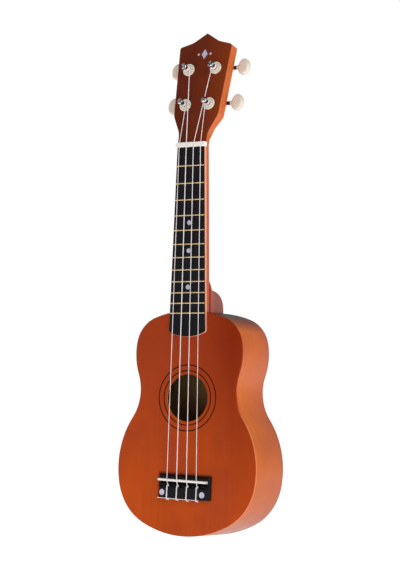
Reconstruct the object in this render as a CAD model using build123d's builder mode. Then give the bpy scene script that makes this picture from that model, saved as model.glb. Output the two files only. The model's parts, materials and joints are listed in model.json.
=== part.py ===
"""Soprano ukulele: hollow bent-side body, bolted tie bridge, geared tuners with working worms.

Millimetres, +Z up along the neck, +X to the right seen from the front, -Y out of the front.
The origin is on the centre line, where the nut meets the top of the fingerboard.
"""
import os
from math import cos, pi, radians, sin, tan

from build123d import *

os.makedirs("parts", exist_ok=True)

# ---------------------------------------------------------------- driving dimensions
SCALE = 345.0                # nut to saddle
FRETS = 12                   # the last fret lies over the neck joint
JOINT_Z = -SCALE / 2         # octave fret, where the neck meets the body

FINGERBOARD_THICK = 3.5
SOUNDBOARD_Y = FINGERBOARD_THICK               # front face of the soundboard
FINGERBOARD_HALF_NUT = 16.6
FINGERBOARD_HALF_JOINT = 21.4
FINGERBOARD_TONGUE = 24.4    # past the last fret, on the centre line
TONGUE_RADIUS = 50.0
DOT_RADIUS = 2.5
DOT_FRETS = (5, 7, 10)

BODY_DEPTH = 57.0
PLATE = 2.0                  # soundboard and back thickness
SIDE = 1.8                   # bent side thickness
BODY_RISE = 3.0              # body's top centre above the last fret
# Half outline from the top centre: (radius, clockwise turn in degrees), minus for the waist.
BOUT_ARCS = (
    (121.1, 19.9),
    (34.0, 61.2),
    (66.4, 28.4),
    (-49.0, 55.0),
    (89.5, 47.3),
    (56.2, 51.2),
)
SOUNDHOLE_RADIUS = 24.5
SOUNDHOLE_Z = -259.8
ROSETTE_RADII = (34.0, 28.1)   # outer ring first
ROSETTE_WIDTH = 1.1
ROSETTE_DEEP = 0.6
LINING_WIDE = 4.0
LINING_DEEP = 5.0

NUT_LONG = 5.0
NUT_HALF = 17.2
NUT_HIGH = 2.8               # above the fingerboard
STRING_SPACING_NUT = 8.6
STRING_SPACING_SADDLE = 11.76
STRING_Y_NUT = -2.2
STRING_Y_SADDLE = -4.3
STRING_NAMES = ("g", "c", "e", "a")
STRING_DIAMETERS = (0.75, 1.0, 0.85, 0.7)
SLOT_CLEAR = 0.05
GROOVE_OPEN = 5.0            # a groove's cut reaches this far out of the nut or saddle
GROOVE_OVERRUN = 0.5

BRIDGE_HALF = 31.2
BRIDGE_FRONT_Z = -339.0
BRIDGE_BACK_Z = -363.4
SADDLE_BLOCK_HIGH = 5.0
TIE_BLOCK_HIGH = 6.2
TIE_FRONT_Z = -352.0
TIE_HOLE_HIGH = 2.9
TIE_HOLE_RADIUS = 0.9
SADDLE_THICK = 2.5
SADDLE_HALF = 28.9
BRIDGE_SLANT = 2.0           # the bridge is glued on with its right end this much lower, degrees
BRIDGE_BOLT_X = 24.0
BRIDGE_BOLT_Z = -357.9

HEAD_TILT = 13.0             # headstock leans back by this angle
HEAD_FACE_Y = 1.0            # the face's plane passes through this point
HEAD_FACE_Z = 3.0
HEAD_THICK = 12.5
FACING = 1.0
# Half outline of the headstock, across and along its face, and the radius at each inner corner.
HEAD_POINTS = ((16.8, -6.0), (16.9, 12.5), (26.6, 32.5), (31.4, 110.4), (15.5, 114.8), (0.0, 124.7))
HEAD_RADII = [22.0, 12.0, 2.5, 20.0]
INLAY_ALONG = 101.0

TENON_HALF = 7.0
TENON_LONG = 14.0

# Tuners: name, side, post's place across and along the headstock, string wound on it
TUNERS = (
    ("lower_left", -1, 14.3, 44.3, 0),
    ("upper_left", -1, 16.3, 84.0, 1),
    ("upper_right", 1, 16.3, 84.0, 2),
    ("lower_right", 1, 14.3, 44.3, 3),
)
TUNER_PLACES = [(side * across, along) for name, side, across, along, string in TUNERS]
GEAR_TEETH = 14
WORM_LEAD = 1.75             # one tooth pitch
GEAR_PITCH_RADIUS = GEAR_TEETH * WORM_LEAD / (2 * pi)
WORM_PITCH_RADIUS = 2.1
CENTRES = GEAR_PITCH_RADIUS + WORM_PITCH_RADIUS
ADDENDUM = 0.45
DEDENDUM = 0.6
PRESSURE_ANGLE = 20.0
POST_RADIUS = 2.5
SPOOL_RADIUS = 2.2
SHAFT_RADIUS = 1.5
RUN_CLEAR = 0.05             # radial clearance of each turning fit
GEAR_THICK = 3.0
TUNER_PLATE = 1.0            # plate thickness
TUNER_PLATE_WIDE = 11.4
TUNER_PLATE_MARGIN = 3.2     # past its screws
TUNER_PLATE_CORNER = 2.4
GEAR_H = -HEAD_THICK - TUNER_PLATE - 3.0      # middle plane of gear and worm
POST_HIGH = 12.6
BUSHING_RADIUS = 6.6
BUSHING_HIGH = 2.2
WINDING_TURNS = 3
WINDING_H = 3.3              # lowest turn above the face
POST_HOLE_H = 8.2
BUTTON_NEAR = 17.6           # from the post's axis
BUTTON_FAR = 30.8
BUTTON_TALL = 18.0
BUTTON_THICK = 7.0

PLATE_EDGE = 0.8             # rounding of the plates' outer edges
SOUNDBOARD_BRACE_Z = (-228.0, -298.0)
BACK_BRACE_Z = (-218.0, -296.0, -345.0)
BRACE_WIDE = 5.0
BRACE_DEEP = 8.0
BODY_WIDTH = 180.0           # wider than the body, before trimming to it
BRIDGE_PLATE_THICK = 1.6
SADDLE_SEAT_HIGH = 2.2       # saddle's seat above the soundboard
SADDLE_TOP_Y = STRING_Y_SADDLE + 0.1
BOLT_RADIUS = 1.5
BOLT_HOLE_RADIUS = 1.55
BOLT_HEAD_RADIUS = 2.8
BOLT_HEAD_HIGH = 2.0
BOLT_HEAD_SEAT = 2.6         # head's seat above the soundboard
BOLT_LONG = 9.5
BOLT_POCKET_RADIUS = 3.1
BOLT_WASHER_RADIUS = 3.8
BOLT_WASHER_THICK = 0.5
BOLT_NUT_HALF = 2.75         # across flats, halved
BOLT_NUT_HIGH = 2.3
BOLT_SLOT_LONG = 3.2         # cross slot in each bolt's head
SLOT_WIDE = 0.7
SLOT_DEEP = 0.8
BRIDGE_PLATE_SIZE = (2 * BRIDGE_HALF + 8.0, BRIDGE_FRONT_Z - BRIDGE_BACK_Z + 4.0)
BRIDGE_PLATE_CORNER = 3.0
BRIDGE_END_HIGH = 1.2        # each end slopes down to this height
BRIDGE_END_SLOPE = 4.2       # over this length
BRIDGE_DOT_THICK = 1.2
FINGERBOARD_BEVEL = 0.45
TONGUE_CORNER = 3.5
FRET_TANG_DEEP = 1.6
FRET_TANG_THICK = 0.6
FRET_CROWN_WIDE = 1.5
FRET_CROWN_HIGH = 0.85
DOT_DEEP = 1.0
NUT_FALL = 0.9
NUT_ROUND = 0.8
INLAY_DEEP = 0.6
STRING_POST_GAP = 2.3        # string ends short of the turns on its post
STRING_BENDS = [6.0, 2.5, 2.0, 0.95, 0.95]
TIE_HOLE_Y = SOUNDBOARD_Y - TIE_HOLE_HIGH
# Neck sections, in runs that each blend smoothly: height, half width, depth, two shape factors
NECK_RUNS = (
    ((NUT_LONG, 16.8, 10.9, 0.80, 0.80), (-3.0, 16.8, 12.7, 0.76, 0.74), (-12.0, 16.9, 14.4, 0.72, 0.68),
     (-20.0, 17.1, 15.0, 0.70, 0.66)),
    ((-20.0, 17.1, 15.0, 0.70, 0.66), (-183.0, 21.6, 16.4, 0.70, 0.66)),
)
# Sections that round the headstock's back corners off towards the nut: height, half width, corner radius,
# distance behind the headstock's back
HEAD_RELIEF = (
    (-10.0, 17.1, 9.5, 0.1),
    (8.0, 17.4, 9.0, 0.1),
    (20.0, 21.0, 6.5, 0.1),
    (36.0, 30.0, 2.0, 0.8),
    (140.0, 40.0, 2.0, 4.0),
)
HEAD_RELIEF_FRONT = -14.0
# Heel sections parallel to the soundboard: depth behind the origin, half width, top, round top's height
HEEL_SECTIONS = (
    (12.0, 20.9, -128.0, 26.0),
    (17.0, 20.3, -136.0, 20.0),
    (20.5, 19.2, -141.2, 15.0),
    (24.0, 18.2, -143.6, 12.0),
    (31.0, 16.8, -145.2, 10.0),
    (38.5, 15.4, -146.4, 9.0),
    (45.0, 14.0, -148.6, 8.5),
    (49.8, 12.9, -152.6, 8.0),
    (52.5, 12.2, -158.4, 7.0),
    (53.5, 11.8, -165.0, 6.0),
)
HEEL_FOOT_Z = -185.0
BRIDGE_PROFILE = (
    (SOUNDBOARD_Y, BRIDGE_FRONT_Z),
    (SOUNDBOARD_Y - 2.0, BRIDGE_FRONT_Z),
    (SOUNDBOARD_Y - SADDLE_BLOCK_HIGH, BRIDGE_FRONT_Z - 2.6),
    (SOUNDBOARD_Y - SADDLE_BLOCK_HIGH, -347.2),
    (SOUNDBOARD_Y - 2.2, -349.2),
    (SOUNDBOARD_Y - 2.2, -351.4),
    (SOUNDBOARD_Y - TIE_BLOCK_HIGH, TIE_FRONT_Z),
    (SOUNDBOARD_Y - TIE_BLOCK_HIGH, BRIDGE_BACK_Z),
    (SOUNDBOARD_Y, BRIDGE_BACK_Z),
)
TUNER_SCREW_RADIUS = 1.1
TUNER_SCREW_HEAD = 2.0
TUNER_SCREW_HEAD_HIGH = 1.2
TUNER_SCREW_HEAD_TAPER = 20.0
SMALL_SLOT_WIDE = 0.5
SMALL_SLOT_DEEP = 0.6
TUNER_SCREW_LONG = 8.0
TUNER_SCREW_STEPS = (-8.2, 12.4)              # from the post, along the headstock
EAR_NEAR = 4.45
EAR_FAR = 5.65
EAR_RADIUS = 2.8
EAR_REACH = -(GEAR_H + HEAD_THICK + TUNER_PLATE)
CORE_HALF = 4.2
COLLAR_GAP = 0.2
COLLAR_LONG = 0.8
COLLAR_RADIUS = 2.1
THREAD_TURNS = 4
GEAR_TOOTH = 0.34 * WORM_LEAD
WORM_THREAD = 0.28 * WORM_LEAD
SPIGOT = 2.8
GEAR_SCREW_RADIUS = 0.8
GEAR_SCREW_HEAD = 2.3
GEAR_SCREW_LONG = 5.0
GEAR_SCREW_HEAD_HIGH = 1.4
GEAR_SCREW_HEAD_TAPER = 12.0
GEAR_SCREW_SLOT = 2.8
BUSHING_SLEEVE_RADIUS = 3.9
BUSHING_DEEP = 6.0
BUSHING_STEP = 1.1
BUSHING_COLLAR = 4.9
SPOOL_LOW = 2.6
SPOOL_HIGH = 9.8
CAP_RADIUS = 3.3
POST_HOLE_RADIUS = 0.7
WINDING_CLEAR = 0.04
TAIL_HALF = 4.4
SHAFT_IN_BUTTON = 8.0
BUTTON_ROUND = 2.6
BUTTON_COLLAR = 1.4
BUTTON_COLLAR_SUNK = 2.0     # into the button's end
BUTTON_COLLAR_RADIUS = 2.5

# ---------------------------------------------------------------- derived values
BACK_Y = SOUNDBOARD_Y + BODY_DEPTH
BODY_TOP_Z = JOINT_Z + BODY_RISE
TILT = radians(HEAD_TILT)
HEAD_UP = Vector(0, sin(TILT), cos(TILT))
HEAD_OUT = Vector(0, -cos(TILT), sin(TILT))
HEAD_ORIGIN = Vector(0, HEAD_FACE_Y, HEAD_FACE_Z)
SLANT = Location((0, 0, -SCALE)) * Location((0, 0, 0), (0, BRIDGE_SLANT, 0)) * Location((0, 0, SCALE))


def fret_z(number):
    """Height of a fret by equal temperament."""
    return -SCALE * (1 - 2 ** (-number / 12))


def fingerboard_half(z):
    """Half width of the fingerboard at a height."""
    return FINGERBOARD_HALF_NUT + (FINGERBOARD_HALF_JOINT - FINGERBOARD_HALF_NUT) * z / JOINT_Z


def front_plane(y):
    """Plane facing the player, with sketch x across and sketch y up the neck."""
    return Plane.XZ.offset(-y)


def slanted(plane):
    """Plane turned with the bridge's slant about the middle of the saddle."""
    return Plane(SLANT * plane.location)


def bridge_plane(y):
    """Plane facing the player, laid out along the slanted bridge."""
    return slanted(front_plane(y))


def bridge_side(half):
    """Plane across the bridge half its length left of its middle, for profiles that run along it."""
    return slanted(Plane.YZ.offset(-half))


def bridge_foot():
    """Plane of the bridge's edge nearest the tail, for cuts that run up the bridge."""
    return slanted(Plane.XY.offset(BRIDGE_BACK_Z))


def on_bridge(x, y, z):
    """Point moved from the straight layout of the bridge to its slanted place."""
    return (SLANT * Location((x, y, z))).position


def head_plane(h=0.0, across=0.0, along=0.0):
    """Plane parallel to the headstock's face, h above it, with sketch y up the headstock."""
    origin = HEAD_ORIGIN + HEAD_OUT * h + HEAD_UP * along + Vector(across, 0, 0)
    return Plane(origin=origin, x_dir=(1, 0, 0), z_dir=HEAD_OUT)


def finish(builder, name):
    """Label a finished piece and write its STEP file."""
    builder.part.label = name
    export_step(builder.part, f"parts/{name}.step")


def body_outline():
    """Closed outline of the body: tangent arcs down the right side, then their mirror image."""
    start, heading = (0, BODY_TOP_Z), (1, 0)
    turned = 0.0
    for radius, turn in BOUT_ARCS:
        arc = JernArc(start, heading, abs(radius), -turn if radius > 0 else turn)
        start, heading = arc @ 1, arc % 1
        turned += turn if radius > 0 else -turn
    closing_radius = start.X / sin(radians(turned))
    JernArc(start, heading, closing_radius, turned - 180)
    mirror(about=Plane.YZ)


def body_block(inset, y_front, y_back):
    """Solid of the body's outline, drawn in by inset, between two depths."""
    with BuildPart(mode=Mode.PRIVATE) as block:
        with BuildSketch(front_plane(y_back)):
            with BuildLine():
                body_outline()
            make_face()
            if inset:
                offset(amount=-inset)
        extrude(amount=y_back - y_front)
    return block.part


def box_between(low, high):
    """Plain box from its lowest to its highest corner, for cutting and trimming."""
    size = [b - a for a, b in zip(low, high)]
    middle = [(a + b) / 2 for a, b in zip(low, high)]
    return Pos(*middle) * Box(*size)


def string_x_nut(index):
    """Place of a string across the nut."""
    return (index - 1.5) * STRING_SPACING_NUT


def string_x_saddle(index):
    """Place of a string across the saddle."""
    return (index - 1.5) * STRING_SPACING_SADDLE


def string_points(index):
    """Corners of a string's run, from just short of its post to the knot on the tie block."""
    radius = STRING_DIAMETERS[index] / 2
    name, side, across, along, _ = next(tuner for tuner in TUNERS if tuner[4] == index)
    nut_contact = Vector(string_x_nut(index), STRING_Y_NUT, NUT_LONG / 2)
    touch = HEAD_ORIGIN + HEAD_OUT * (WINDING_H + radius) + HEAD_UP * along
    touch += Vector(side * (across - SPOOL_RADIUS - radius), 0, 0)
    touch -= (touch - nut_contact).normalized() * STRING_POST_GAP
    x = string_x_saddle(index)
    over_y = SOUNDBOARD_Y - TIE_BLOCK_HIGH - radius - SLOT_CLEAR
    return [
        touch,
        nut_contact,
        on_bridge(x, STRING_Y_SADDLE, -SCALE),
        on_bridge(x, TIE_HOLE_Y, TIE_FRONT_Z + 0.6),
        on_bridge(x, TIE_HOLE_Y, BRIDGE_BACK_Z - 1.1),
        on_bridge(x, over_y, BRIDGE_BACK_Z - 1.1),
        on_bridge(x, over_y, TIE_FRONT_Z + 0.4),
    ]


def string_path(index):
    """A string's run with its bends rounded."""
    FilletPolyline(*string_points(index), radius=STRING_BENDS)


def cut_string_grooves():
    """Cut each string's groove, open to the front, in the nut or saddle being built."""
    for index, diameter in enumerate(STRING_DIAMETERS):
        points = string_points(index)
        for start, end in ((points[0], points[1]), (points[1], points[2]), (points[2], points[3])):
            add(groove_tool(start, end, diameter / 2 + SLOT_CLEAR), mode=Mode.SUBTRACT)


def groove_tool(start, end, radius):
    """Round-bottomed slot along a straight run, open towards the front."""
    axis = (end - start).normalized()
    across = Vector(1, 0, 0)
    plane = Plane(origin=start - axis * GROOVE_OVERRUN, x_dir=across, z_dir=axis)
    towards = 1 if plane.y_dir.Y < 0 else -1
    with BuildPart() as tool:
        with BuildSketch(plane):
            Circle(radius)
            with Locations((0, towards * GROOVE_OPEN / 2)):
                Rectangle(2 * radius, GROOVE_OPEN)
        extrude(amount=(end - start).length + 2 * GROOVE_OVERRUN)
    return tool.part


def rosette_sketch():
    """Thin rings round the soundhole, centred on the current location."""
    for ring_radius in ROSETTE_RADII:
        Circle(ring_radius + ROSETTE_WIDTH / 2)
        Circle(ring_radius - ROSETTE_WIDTH / 2, mode=Mode.SUBTRACT)


def bolt_sketch(radius, mode=Mode.ADD):
    """One disc of the given radius at each bridge bolt."""
    for bolt_x in (-BRIDGE_BOLT_X, BRIDGE_BOLT_X):
        with Locations((bolt_x, BRIDGE_BOLT_Z)):
            Circle(radius, mode=mode)


def dot_sketch():
    """One disc between each marked fret and the fret above it."""
    for number in DOT_FRETS:
        with Locations((0, (fret_z(number) + fret_z(number - 1)) / 2)):
            Circle(DOT_RADIUS)


def fret_section(z):
    """Fret wire's section: a rounded crown on the board and a tang in its slot."""
    half = FRET_CROWN_WIDE / 2
    ThreePointArc((0, z - half), (-FRET_CROWN_HIGH, z), (0, z + half))
    Polyline((0, z + half), (0, z + FRET_TANG_THICK / 2), (FRET_TANG_DEEP, z + FRET_TANG_THICK / 2),
             (FRET_TANG_DEEP, z - FRET_TANG_THICK / 2), (0, z - FRET_TANG_THICK / 2), (0, z - half))


def inlay_sketch():
    """Plain diamond between two small dots."""
    with Locations((0, INLAY_ALONG)):
        Polygon((-3.6, 0), (0, -5.6), (3.6, 0), (0, 5.6))
    for x in (-7.2, 7.2):
        with Locations((x, INLAY_ALONG)):
            Circle(1.3)


def head_outline():
    """Closed outline of the headstock on its own face."""
    FilletPolyline(*HEAD_POINTS, radius=HEAD_RADII)
    mirror(about=Plane.YZ)
    foot_x, foot_along = HEAD_POINTS[0]
    Line((-foot_x, foot_along), (foot_x, foot_along))


def head_back_y(z):
    """Depth of the headstock's back face at a height."""
    return HEAD_FACE_Y + (z - HEAD_FACE_Z) * tan(TILT) + HEAD_THICK / cos(TILT)


def neck_section(half, depth, fullness, squareness):
    """D-shaped outline under the fingerboard: flat front, back bulging by depth."""
    front, back = SOUNDBOARD_Y, SOUNDBOARD_Y + depth
    Line((-half, front), (half, front))
    Bezier((half, front), (half, front + fullness * depth), (squareness * half, back), (0, back))
    Bezier((0, back), (-squareness * half, back), (-half, front + fullness * depth), (-half, front))


def heel_section(half, top_z, rise):
    """Outline of the heel at one depth: straight sides into the body and a round top."""
    spring_z = top_z - rise
    Polyline((-half, spring_z), (-half, HEEL_FOOT_Z), (half, HEEL_FOOT_Z), (half, spring_z))
    Bezier((half, spring_z), (half, top_z - 0.35 * rise), (0.6 * half, top_z), (0, top_z))
    Bezier((0, top_z), (-0.6 * half, top_z), (-half, top_z - 0.35 * rise), (-half, spring_z))


def tuner_screw_places():
    """Places of the tuner plates' screws on the headstock's back."""
    return [(x, along + step) for x, along in TUNER_PLACES for step in TUNER_SCREW_STEPS]


def gear_sketch():
    """Straight-sided teeth round a disc, with a gap facing the worm."""
    slope = tan(radians(PRESSURE_ANGLE))
    root, tip = GEAR_PITCH_RADIUS - DEDENDUM, GEAR_PITCH_RADIUS + ADDENDUM
    half_pitch = GEAR_TOOTH / 2
    Circle(root)
    for number in range(GEAR_TEETH):
        with Locations(Rotation(0, 0, 90 + (number + 0.5) * 360 / GEAR_TEETH)):
            Polygon(
                (root - 0.2, -half_pitch - slope * DEDENDUM),
                (tip, -half_pitch + slope * ADDENDUM),
                (tip, half_pitch - slope * ADDENDUM),
                (root - 0.2, half_pitch + slope * DEDENDUM),
                align=None,
            )


def thread_sketch():
    """Section of the worm's thread, sketch x pointing out from the shaft."""
    slope = tan(radians(PRESSURE_ANGLE))
    half_pitch = WORM_THREAD / 2
    Polygon(
        (-DEDENDUM - 0.2, -half_pitch - slope * (DEDENDUM + 0.2)),
        (ADDENDUM, -half_pitch + slope * ADDENDUM),
        (ADDENDUM, half_pitch - slope * ADDENDUM),
        (-DEDENDUM - 0.2, half_pitch + slope * (DEDENDUM + 0.2)),
        align=None,
    )


def worm_profile():
    """Half section of a worm's shaft: collar, journals and threaded core, sketch y along the shaft."""
    core = WORM_PITCH_RADIUS - DEDENDUM + 0.1
    collar_end = -EAR_FAR - COLLAR_GAP
    Polyline(
        (0, collar_end - COLLAR_LONG),
        (COLLAR_RADIUS, collar_end - COLLAR_LONG),
        (COLLAR_RADIUS, collar_end),
        (SHAFT_RADIUS, collar_end),
        (SHAFT_RADIUS, -CORE_HALF),
        (core, -CORE_HALF),
        (core, CORE_HALF),
        (SHAFT_RADIUS, CORE_HALF),
        (SHAFT_RADIUS, BUTTON_NEAR + SHAFT_IN_BUTTON),
        (0, BUTTON_NEAR + SHAFT_IN_BUTTON),
        close=True,
    )


# One worm with its shaft along +Z, its thread facing the gear at the middle of the core
with BuildPart() as plain_worm:
    with BuildLine(Plane.XY.offset(-THREAD_TURNS * WORM_LEAD / 2)) as thread_line:
        Helix(WORM_LEAD, THREAD_TURNS * WORM_LEAD, WORM_PITCH_RADIUS)
    with BuildSketch(Plane(origin=thread_line.line @ 0, x_dir=(1, 0, 0), z_dir=thread_line.line % 0)):
        thread_sketch()
    sweep(path=thread_line.line, is_frenet=True)
    with BuildSketch(Plane.XZ):
        with BuildLine():
            worm_profile()
        make_face()
    revolve(axis=Axis.Z)


def shaft_plane(side, x, along, distance=0.0):
    """Plane across the worm's shaft, distance out from the post towards the button."""
    origin = HEAD_ORIGIN + HEAD_OUT * GEAR_H + HEAD_UP * (along + CENTRES)
    origin += Vector(x + side * distance, 0, 0)
    return Plane(origin=origin, x_dir=-HEAD_UP, z_dir=(side, 0, 0))


def make_tuner(name, side, x, along, index):
    """Build and write the seven pieces of one tuner and the turns of string on its post."""
    plate_h = -HEAD_THICK
    with BuildPart() as tuner_plate:
        with BuildSketch(head_plane(plate_h, x, along)):
            with Locations((0, (TUNER_SCREW_STEPS[0] + TUNER_SCREW_STEPS[1]) / 2)):
                plate_long = TUNER_SCREW_STEPS[1] - TUNER_SCREW_STEPS[0] + 2 * TUNER_PLATE_MARGIN
                RectangleRounded(TUNER_PLATE_WIDE, plate_long, TUNER_PLATE_CORNER)
            Circle(POST_RADIUS + RUN_CLEAR, mode=Mode.SUBTRACT)
            for step in TUNER_SCREW_STEPS:
                with Locations((0, step)):
                    Circle(TUNER_SCREW_RADIUS, mode=Mode.SUBTRACT)
        extrude(amount=-TUNER_PLATE)
        for ear_start in (-EAR_FAR, EAR_NEAR):
            with BuildSketch(shaft_plane(side, x, along, ear_start)):
                Circle(EAR_RADIUS)
                with Locations((0, -side * EAR_REACH / 2)):
                    Rectangle(2 * EAR_RADIUS, EAR_REACH)
                Circle(SHAFT_RADIUS + RUN_CLEAR, mode=Mode.SUBTRACT)
            extrude(amount=EAR_FAR - EAR_NEAR)
    finish(tuner_plate, f"tuner_plate_{name}")

    with BuildPart() as bushing:
        with BuildSketch(head_plane(-BUSHING_DEEP, x, along)):
            Circle(BUSHING_SLEEVE_RADIUS)
        extrude(amount=BUSHING_DEEP)
        with BuildSketch(head_plane(0, x, along)):
            Circle(BUSHING_RADIUS)
        extrude(amount=BUSHING_STEP)
        with BuildSketch(head_plane(BUSHING_STEP, x, along)):
            Circle(BUSHING_COLLAR)
        extrude(amount=BUSHING_HIGH - BUSHING_STEP)
        with BuildSketch(head_plane(BUSHING_HIGH, x, along)):
            Circle(POST_RADIUS + RUN_CLEAR)
        extrude(amount=-BUSHING_HIGH - BUSHING_DEEP, mode=Mode.SUBTRACT)
    finish(bushing, f"bushing_{name}")

    post_plane = head_plane(0, x, along)
    with BuildPart() as post:
        with BuildSketch(Plane(origin=post_plane.origin, x_dir=(1, 0, 0), z_dir=-HEAD_UP)):
            with BuildLine():
                post_profile()
            make_face()
        revolve(axis=Axis(post_plane.origin, HEAD_OUT))
        with BuildSketch(head_plane(GEAR_H - GEAR_THICK / 2, x, along)):
            Rectangle(SPIGOT, SPIGOT)
        extrude(amount=GEAR_THICK)
        with BuildSketch(head_plane(GEAR_H - GEAR_THICK / 2, x, along)):
            Circle(GEAR_SCREW_RADIUS)
        extrude(amount=GEAR_SCREW_LONG, mode=Mode.SUBTRACT)
        with BuildSketch(hole_plane(x, along)):
            Circle(POST_HOLE_RADIUS)
        extrude(amount=2 * POST_RADIUS, both=True, mode=Mode.SUBTRACT)
    finish(post, f"post_{name}")

    with BuildPart() as gear:
        with BuildSketch(head_plane(GEAR_H - GEAR_THICK / 2, x, along)):
            gear_sketch()
            Rectangle(SPIGOT, SPIGOT, mode=Mode.SUBTRACT)
        extrude(amount=GEAR_THICK)
    finish(gear, f"gear_{name}")

    screw_h = GEAR_H - GEAR_THICK / 2
    with BuildPart() as gear_screw:
        with BuildSketch(head_plane(screw_h, x, along)):
            Circle(GEAR_SCREW_RADIUS)
        extrude(amount=GEAR_SCREW_LONG)
        with BuildSketch(head_plane(screw_h, x, along)):
            Circle(GEAR_SCREW_HEAD)
        extrude(amount=-GEAR_SCREW_HEAD_HIGH, taper=GEAR_SCREW_HEAD_TAPER)
        with BuildSketch(head_plane(screw_h - GEAR_SCREW_HEAD_HIGH, x, along)):
            Rectangle(GEAR_SCREW_SLOT, SMALL_SLOT_WIDE)
            Rectangle(SMALL_SLOT_WIDE, GEAR_SCREW_SLOT)
        extrude(amount=SMALL_SLOT_DEEP, mode=Mode.SUBTRACT)
    finish(gear_screw, f"gear_screw_{name}")

    with BuildPart() as worm:
        add(shaft_plane(side, x, along) * plain_worm.part)
    finish(worm, f"worm_{name}")

    with BuildPart() as button:
        middle = (BUTTON_NEAR + BUTTON_FAR) / 2
        with BuildSketch(head_plane(GEAR_H - BUTTON_THICK / 2, x + side * middle, along + CENTRES)):
            Ellipse((BUTTON_FAR - BUTTON_NEAR) / 2, BUTTON_TALL / 2)
        extrude(amount=BUTTON_THICK)
        fillet(edges().filter_by(GeomType.ELLIPSE), BUTTON_ROUND)
        with BuildSketch(shaft_plane(side, x, along, BUTTON_NEAR - BUTTON_COLLAR)):
            Circle(BUTTON_COLLAR_RADIUS)
        extrude(amount=BUTTON_COLLAR + BUTTON_COLLAR_SUNK)
        with BuildSketch(shaft_plane(side, x, along, BUTTON_NEAR - BUTTON_COLLAR)):
            Circle(SHAFT_RADIUS)
        extrude(amount=BUTTON_COLLAR + SHAFT_IN_BUTTON, mode=Mode.SUBTRACT)
    finish(button, f"button_{name}")

    radius = STRING_DIAMETERS[index] / 2
    coil_radius = SPOOL_RADIUS + WINDING_CLEAR + radius
    start_plane = Plane(
        origin=HEAD_ORIGIN + HEAD_OUT * (WINDING_H + radius) + HEAD_UP * along + Vector(x, 0, 0),
        x_dir=(-side, 0, 0),
        z_dir=HEAD_OUT,
    )
    with BuildPart() as turns:
        with BuildLine() as coil:
            rise = 2 * radius + WINDING_CLEAR
            Helix(rise, WINDING_TURNS * rise, coil_radius, lefthand=side > 0)
        with BuildSketch(Plane(origin=coil.line @ 0, z_dir=coil.line % 0)):
            Circle(radius)
        sweep(path=coil.line, is_frenet=True)
    with BuildPart() as winding:
        add(start_plane * turns.part)
        with BuildSketch(hole_plane(x, along)):
            Circle(radius)
        extrude(amount=TAIL_HALF, both=True)
    finish(winding, f"winding_{STRING_NAMES[index]}")


def hole_plane(x, along):
    """Plane across the post's string hole, which runs up and down the headstock."""
    origin = HEAD_ORIGIN + HEAD_OUT * POST_HOLE_H + HEAD_UP * along + Vector(x, 0, 0)
    return Plane(origin=origin, x_dir=(1, 0, 0), z_dir=HEAD_UP)


def post_profile():
    """Half section of a post from its lower shoulder to its cap, sketch x out from the axis."""
    low = GEAR_H + GEAR_THICK / 2
    Polyline(
        (0, low),
        (POST_RADIUS, low),
        (POST_RADIUS, SPOOL_LOW),
    )
    Spline((POST_RADIUS, SPOOL_LOW), (SPOOL_RADIUS, SPOOL_LOW + 1.0), (SPOOL_RADIUS, SPOOL_HIGH - 1.0),
           (CAP_RADIUS, SPOOL_HIGH))
    Line((CAP_RADIUS, SPOOL_HIGH), (CAP_RADIUS, POST_HIGH - 1.2))
    ThreePointArc((CAP_RADIUS, POST_HIGH - 1.2), (CAP_RADIUS - 0.45, POST_HIGH - 0.35),
                  (CAP_RADIUS - 1.6, POST_HIGH))
    Polyline((CAP_RADIUS - 1.6, POST_HIGH), (0, POST_HIGH), (0, low))


def body_ring(outer_inset, inner_inset, y_front, y_back):
    """Band of the body's outline between two insets, such as the bent sides."""
    return body_block(outer_inset, y_front, y_back) - body_block(inner_inset, y_front, y_back)


BODY = body_block(0, SOUNDBOARD_Y, BACK_Y)
INNER_FRONT_Y = SOUNDBOARD_Y + PLATE
INNER_BACK_Y = BACK_Y - PLATE
CAVITY = body_block(SIDE, INNER_FRONT_Y, INNER_BACK_Y)
INNER_ROOM = body_block(SIDE + LINING_WIDE, INNER_FRONT_Y, INNER_BACK_Y)
BODY_BOTTOM_Z = BODY.bounding_box().min.Z

TENON = box_between(
    (-TENON_HALF, INNER_FRONT_Y + 4, BODY_TOP_Z - TENON_LONG),
    (TENON_HALF, INNER_FRONT_Y + 36, BODY_TOP_Z + 2),
)
NECK_BLOCK = CAVITY & box_between((-26, INNER_FRONT_Y, BODY_TOP_Z - 24), (26, INNER_BACK_Y, BODY_TOP_Z))
TAIL_BLOCK = CAVITY & box_between((-22, INNER_FRONT_Y, BODY_BOTTOM_Z), (22, INNER_BACK_Y, BODY_BOTTOM_Z + 14))

HEAD_TRIM = box_between((-40, -20, -30), (40, SOUNDBOARD_Y, NUT_LONG))

# ---------------------------------------------------------------- body
with BuildPart() as soundboard:
    with BuildSketch(front_plane(INNER_FRONT_Y)):
        with BuildLine():
            body_outline()
        make_face()
        with Locations((0, SOUNDHOLE_Z)):
            Circle(SOUNDHOLE_RADIUS, mode=Mode.SUBTRACT)
    extrude(amount=PLATE)
    rim = faces().sort_by(Axis.Y)[0].outer_wire().edges()
    fillet(rim, PLATE_EDGE)
    with BuildSketch(front_plane(SOUNDBOARD_Y)):
        with Locations((0, SOUNDHOLE_Z)):
            rosette_sketch()
    extrude(amount=-ROSETTE_DEEP, mode=Mode.SUBTRACT)
    with BuildSketch(bridge_plane(SOUNDBOARD_Y)):
        bolt_sketch(BOLT_HOLE_RADIUS)
    extrude(amount=-PLATE, mode=Mode.SUBTRACT)
finish(soundboard, "soundboard")

with BuildPart() as rosette_rings:
    with BuildSketch(front_plane(SOUNDBOARD_Y)):
        with Locations((0, SOUNDHOLE_Z)):
            rosette_sketch()
    extrude(amount=-ROSETTE_DEEP)
finish(rosette_rings, "rosette_rings")

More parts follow.
